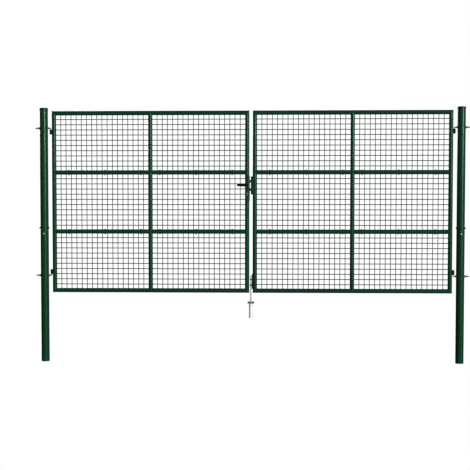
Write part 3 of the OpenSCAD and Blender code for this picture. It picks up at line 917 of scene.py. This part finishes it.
def gripStations(face, limit, reachX):
    # each station: centre, its sideways direction, half width, half height
    elbow, neck, lift, root, tipTurn = inMetres(leverGrip, "elbow", "neckR", "lift", "root", "tipTurn")
    halfWide, halfThick = (size / 2 for size in inMetres(leverGrip, "wide", "thick"))
    taper, thin = leverGrip["taper"], neck * leverGrip["neckThin"]
    gripY = limit - halfWide
    rootY = tubeR + root
    stations = []
    for k in range(4):
        share = k / 3
        size = neck * (1 - (1 - leverGrip["neckThin"]) * share)
        stations.append((at(lockX, face * (rootY + (gripY - elbow - rootY) * share), leverZ), xAxis, size, size))
    for k in range(1, 9):
        angle, share = math.pi / 2 * k / 8, k / 8
        spot = at(lockX - elbow * (1 - math.cos(angle)), face * (gripY - elbow + elbow * math.sin(angle)),
                  leverZ + lift * share)
        stations.append((spot, at(math.cos(angle), face * math.sin(angle), 0),
                         thin + (halfWide - thin) * share, thin + (halfThick - thin) * share))
    for k in range(1, 21):
        share = (k / 15) * 0.9 if k < 15 else 0.9 + 0.1 * math.sin(math.pi / 2 * (k - 14) / 6)
        turnIn = tipTurn * max(0.0, share - 0.72) / 0.28
        halfY = halfWide * (1 - leverGrip["waist"] * math.sin(math.pi * min(1, share * 1.1)))
        halfZ = halfThick * (1 - taper * share)
        if share > 0.9:
            squeeze = max(math.sqrt(max(0.0, 1 - ((share - 0.9) / 0.1001) ** 2)), leverGrip["blunt"])
            halfY, halfZ = halfY * squeeze, halfZ * squeeze
        # the upper edge stays level while the grip gets slimmer
        spot = at(lockX - elbow - (reachX - elbow) * share, face * (gripY - turnIn * 0.55),
                  leverZ + lift + halfThick * taper * share)
        stations.append((spot, yAxis * face, halfY, halfZ))
    return stations


def makeLever():
    low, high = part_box("lever_handle")
    shape = bmesh.new()
    for face, limit in ((-1, -low.y), (1, high.y)):
        rings = []
        for spot, sideways, halfA, halfB in gripStations(face, limit, lockX - low.x):
            ring = []
            for c, s in circle(1, 28):
                u = math.copysign(abs(c) ** leverGrip["square"], c) * halfA
                v = math.copysign(abs(s) ** leverGrip["square"], s) * halfB
                ring.append(shape.verts.new(spot + sideways * u + zAxis * v))
            rings.append(ring)
        skinRings(shape, rings, capped=True)
    spindleR, out = inMetres(leverGrip, "spindleR", "spindleOut")
    addDisc(shape, at(lockX, -tubeR - out, leverZ), yAxis, spindleR, 2 * (tubeR + out), sides=20)
    lever = newPiece("lever_grips", shape, "lever", "handle_black", crease=50)
    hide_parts("lever_handle")


def makeBolts():
    tip, noseL, roundR = inMetres(lockBox, "boltTip", "latchNose", "deadRound")
    low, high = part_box("latch_bolt")
    high.x += tip
    halfY = (high.y - low.y) / 2
    # the nose slopes on the side that meets the keep as the leaf shuts
    outline = [(low.x, -halfY), (high.x - noseL, -halfY)]
    outline += [(high.x - left * mm, halfY * share) for left, share in lockBox["latchTip"]]
    outline += [(high.x, halfY), (low.x, halfY)]
    shape = bmesh.new()
    addPrism(shape, outline, at(0, 0, low.z), xAxis, yAxis, high.z - low.z)
    latch = newPiece("latch_nose", shape, "latch", "bolt_steel", bevel=0.5 * mm)
    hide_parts("latch_bolt")
    low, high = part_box("dead_bolt")
    high.x += tip
    shape = bmesh.new()
    outline = roundedRect(high.y - low.y, high.z - low.z, roundR, 5)
    addPrism(shape, outline, at(low.x, 0, (low.z + high.z) / 2), yAxis, zAxis, high.x - low.x)
    dead = newPiece("dead_bolt_bar", shape, "dead", "dark_steel", bevel=0.6 * mm)
    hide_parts("dead_bolt")


forendScrew = {
    "inset": 11.0, "sink": 0.3,
    "head": ((0, 0), (5.0, 0), (5.0, 0.5), (4.0, 0.9), (0, 0.9)),   # radius, height
    "slotL": 4.6, "slotW": 0.9, "slotTurn": 0.5, "slotLift": 0.72, "slotDepth": 0.24,
}


def screwForend():
    low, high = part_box("lock_forend")
    shape, shade = bmesh.new(), bmesh.new()
    head = [(radius * mm, lift * mm) for radius, lift in forendScrew["head"]]
    inset, sink, long, wide = inMetres(forendScrew, "inset", "sink", "slotL", "slotW")
    lift, depth = inMetres(forendScrew, "slotLift", "slotDepth")
    outline = [(u * long / 2, v * wide / 2) for u, v in ((1, 1), (-1, 1), (-1, -1), (1, -1))]
    for z in (low.z + inset, high.z - inset):
        base = at(high.x - sink, 0, z)
        addTurned(shape, base, xAxis, head, 28)
        # the slots are near-black prisms on the head, painted shade in place of cut slots
        addCross(shade, outline, base + xAxis * lift, yAxis, zAxis, forendScrew["slotTurn"], depth)
    newPiece("forend_screws", shape, "left_leaf", "bolt_steel")
    newPiece("forend_slot_shade", shade, "left_leaf", "dark_steel", paint=paintedRecessShade)


makeLockCase()
makeLockPlates()
makeKeyCylinder()
makeLever()
makeBolts()
screwForend()
print("lock fitted")


keepTrim = {
    "grow": 0.7,   # the end stops stand this proud of the keep
    "endH": 14.0, "nose": 4.0, "leanFront": 0.6, "leanBack": 0.3,
    "screwR": 4.0, "screwT": 1.0, "screwCut": 0.5, "screwInset": 24.0, "screwSink": 0.2,
    "weld": 1.8, "ripple": 3.4, "weldSink": 0.3, "weldEnd": 1.0,
}


def makeKeep():
    low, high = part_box("keep")
    stileX = uprights["right"][0]
    # the solid keep again, with its edges rounded
    shape = bmesh.new()
    shape.from_mesh(frame["nodes"]["keep"].data)
    shape.transform(frame["nodes"]["keep"].matrix_world)
    bmesh.ops.remove_doubles(shape, verts=shape.verts, dist=0.001 * mm)
    bmesh.ops.dissolve_limit(shape, angle_limit=math.radians(0.5), verts=shape.verts, edges=shape.edges)
    case = newPiece("keep_case", shape, "right_leaf", "coat_green", bevel=1.0 * mm)
    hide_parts("keep")
    ends = bmesh.new()
    endH, grow, nose, weld, ripple = inMetres(keepTrim, "endH", "grow", "nose", "weld", "ripple")
    leanFront, leanBack, weldSink, weldEnd = inMetres(keepTrim, "leanFront", "leanBack", "weldSink", "weldEnd")
    screwR, screwT, cut, inset, sink = inMetres(
        keepTrim, "screwR", "screwT", "screwCut", "screwInset", "screwSink")
    back = stileX - math.sqrt(tubeR ** 2 - (high.y + grow) ** 2)
    outline = [(back, -high.y - grow), (low.x + nose, -high.y - grow), (low.x + leanFront, -high.y + nose),
               (low.x + leanBack - grow, high.y - nose), (low.x + nose, high.y + grow), (back, high.y + grow)]
    for start in (low.z - grow, high.z + grow - endH):
        addPrism(ends, outline, at(0, 0, start), xAxis, yAxis, endH)
    newPiece("keep_end_stops", ends, "right_leaf", "coat_green", bevel=1.6 * mm, paint=stopGrey)
    trim = bmesh.new()
    head = [(0, 0), (screwR, 0), (screwR - cut, screwT), (0, screwT)]
    for z in (low.z + inset, (low.z + high.z) / 2, high.z - inset):
        addTurned(trim, at(low.x + sink, 0, z), -xAxis, head, 24)
    newPiece("keep_screws", trim, "right_leaf", "bolt_steel")
    welds = bmesh.new()
    for face in (-1, 1):
        y = face * (high.y - weldSink)
        x = stileX - math.sqrt(tubeR ** 2 - y ** 2) + weldSink
        line = [at(x, y, low.z + endH + weldEnd), at(x, y, high.z - endH - weldEnd)]
        addBead(welds, line, weld, ripple, loop=False)
    newPiece("keep_welds", welds, "right_leaf", "coat_green", crease=70)


makeKeep()
print("keep fitted")


dropBolt = {
    "rodR": 7.0, "topCut": 1.2,
    "tip": ((2.2, 0.0), (0.5, 1.98), (0.0, 3.3)),              # inset, height
    "pegR": 4.5, "pegDrop": 1.0, "pegRoot": 2.8, "pegWeldOut": 0.2,
    "pegEnd": ((1.0, 2.2), (0.86, 0.9), (0.5, 0.2), (0, 0)),   # share of the radius, distance to the end
    "pegBead": 0.8, "pegRipple": 2.2,
    "saddleW": 30.0, "saddleT": 7.0, "saddleCorner": 5.0, "saddleSink": 1.5,
    "tabR": 11.0, "tabPlay": 0.5, "tabShort": 1.0,
    "tabs": ((74.5, 10.0), (127.0, 7.6)),   # height over the leaf's foot, thickness
    "weld": 1.7, "tabRipple": 3.0,
    "sideWeld": 2.04, "sideRipple": 3.4, "sideSink": 1.2, "sideInset": 0.5, "sideEnd": 8.0,
}


def makeDropRod():
    low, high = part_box("drop_rod")
    rodX = (low.x + high.x) / 2
    r, cut, pegR, drop, root = inMetres(dropBolt, "rodR", "topCut", "pegR", "pegDrop", "pegRoot")
    bead, ripple, weldOut = inMetres(dropBolt, "pegBead", "pegRipple", "pegWeldOut")
    shape = bmesh.new()
    tall = high.z - low.z
    tip = [(r - inset * mm, height * mm) for inset, height in dropBolt["tip"]]
    addTurned(shape, at(rodX, 0, low.z), zAxis, [(0, 0), *tip, (r, tall - cut), (r - cut, tall), (0, tall)], 40)
    pegZ = high.z - pegR - drop
    pegL = -low.y - root
    peg = [(0, 0), (pegR, 0)] + [(pegR * share, pegL - left * mm) for share, left in dropBolt["pegEnd"]]
    addTurned(shape, at(rodX, -root, pegZ), -yAxis, peg, 28)
    # the weld follows the rod's round
    ring = [at(rodX + u, -math.sqrt(r ** 2 - min(abs(u), r * 0.99) ** 2), pegZ + v)
            for u, v in circle(pegR + weldOut, 40)]
    addBead(shape, ring, bead, ripple)
    rod = newPiece("sliding_rod", shape, "rod", "zinc", crease=34)
    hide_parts("drop_rod")
    return rodX


def skinPlate(shape, outer, inner, low, high):
    # a flat plate with one hole, from the rings of its rim and its hole
    loops = ((inner, low), (outer, low), (outer, high), (inner, high))
    skinRings(shape, [[shape.verts.new(at(u, v, z)) for u, v in loop] for loop, z in loops], closed=True)


def makeBracket(rodX):
    low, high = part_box("drop_bolt_bracket")
    wide, thick, corner, sink = inMetres(dropBolt, "saddleW", "saddleT", "saddleCorner", "saddleSink")
    rodR, play, tabR, short, bead, ripple = inMetres(
        dropBolt, "rodR", "tabPlay", "tabR", "tabShort", "weld", "tabRipple")
    sideWeld, sideRipple, sideSink, inset, end = inMetres(
        dropBolt, "sideWeld", "sideRipple", "sideSink", "sideInset", "sideEnd")
    edgeX, hole = uprights["right"][0] - tubeR, rodR + play
    plateX = edgeX - thick
    shape = bmesh.new()
    # plate with rounded corners that lies against the stile
    outline = roundedRect(wide, high.z - low.z, corner)
    addPrism(shape, outline, at(plateX, 0, (low.z + high.z) / 2), yAxis, zAxis, thick + sink)
    outer, inner = [], []
    for c, s in circle(1, 56):
        grow = tabR
        if c > 0:   # straight back to the plate on that side
            grow = min((edgeX - short - rodX) / max(c, 1e-6), tabR / max(abs(s), 1e-6))
        outer.append((rodX + grow * c, grow * s))
        inner.append((rodX + hole * c, hole * s))
    for level, tall in dropBolt["tabs"]:
        skinPlate(shape, outer, inner, leafLow + (level - tall / 2) * mm, leafLow + (level + tall / 2) * mm)
    bracket = newPiece("rod_bracket", shape, "right_leaf", "dark_steel", bevel=0.5 * mm)
    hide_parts("drop_bolt_bracket")
    welds = bmesh.new()
    for level, tall in dropBolt["tabs"]:
        for way in (-1, 1):
            z = leafLow + (level + way * tall / 2) * mm
            addBead(welds, [at(plateX, -tabR, z), at(plateX, tabR, z)], bead, ripple, loop=False)
    for face in (-1, 1):
        x, y = edgeX + sideSink, face * (wide / 2 - inset)
        addBead(welds, [at(x, y, low.z + end), at(x, y, high.z - end)], sideWeld, sideRipple, loop=False)
    newPiece("bracket_welds", welds, "right_leaf", "dark_steel", crease=70)


groundSocket = {
    "play": 0.8, "corner": 6.0, "wall": 3.0, "rimCut": 0.6, "boreCut": 0.4,
    "weld": 2.2, "ripple": 3.6, "weldOut": 0.5, "weldSink": 0.6,
}


def makeGroundSocket(rodX):
    low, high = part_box("ground_plate")
    hole = (dropBolt["rodR"] + groundSocket["play"]) * mm
    halfX, halfY = halfWidth("ground_plate"), (high.y - low.y) / 2
    corner, wall, cut, inCut = inMetres(groundSocket, "corner", "wall", "rimCut", "boreCut")
    bead, ripple, out, sink = inMetres(groundSocket, "weld", "ripple", "weldOut", "weldSink")
    outer, inner = [], []
    for c, s in circle(1, 96):
        grow = min(halfX / max(abs(c), 1e-9), halfY / max(abs(s), 1e-9))
        u, v = grow * c, grow * s
        # pull the corners in to their radius
        cu, cv = max(abs(u) - (halfX - corner), 0), max(abs(v) - (halfY - corner), 0)
        if cu > 0 and cv > 0:
            away = math.hypot(cu, cv)
            u = math.copysign(halfX - corner + cu / away * corner, u)
            v = math.copysign(halfY - corner + cv / away * corner, v)
        outer.append((rodX + u, v))
        inner.append((rodX + hole * c, hole * s))
    shape = bmesh.new()
    skinPlate(shape, outer, inner, low.z, high.z)
    plate = newPiece("floor_plate", shape, "posts", "bolt_steel", crease=35, bevel=0.7 * mm, paint=plateGrey)
    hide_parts("ground_plate")
    tubeLow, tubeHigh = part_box("ground_socket_tube")
    tubeOuter = halfWidth("ground_socket_tube")
    weld = bmesh.new()
    ring = [at(rodX + u, v, tubeHigh.z - sink) for u, v in circle(tubeOuter + out, 60)]
    addBead(weld, ring, bead, ripple)
    newPiece("socket_weld", weld, "posts", "zinc", crease=70)
    tube = bmesh.new()
    bore, tall = tubeOuter - wall, tubeHigh.z - tubeLow.z
    addTurned(tube, at(rodX, 0, tubeLow.z), zAxis, [
        (bore, inCut), (bore + inCut, 0), (tubeOuter - cut, 0), (tubeOuter, cut), (tubeOuter, tall), (bore, tall)],
        72, closed=True)
    sleeve = newPiece("socket_sleeve", tube, "posts", "zinc", crease=34, paint=sleeveGrey)
    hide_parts("ground_socket_tube")


rodX = makeDropRod()
makeBracket(rodX)
makeGroundSocket(rodX)
print("drop bolt and socket made")
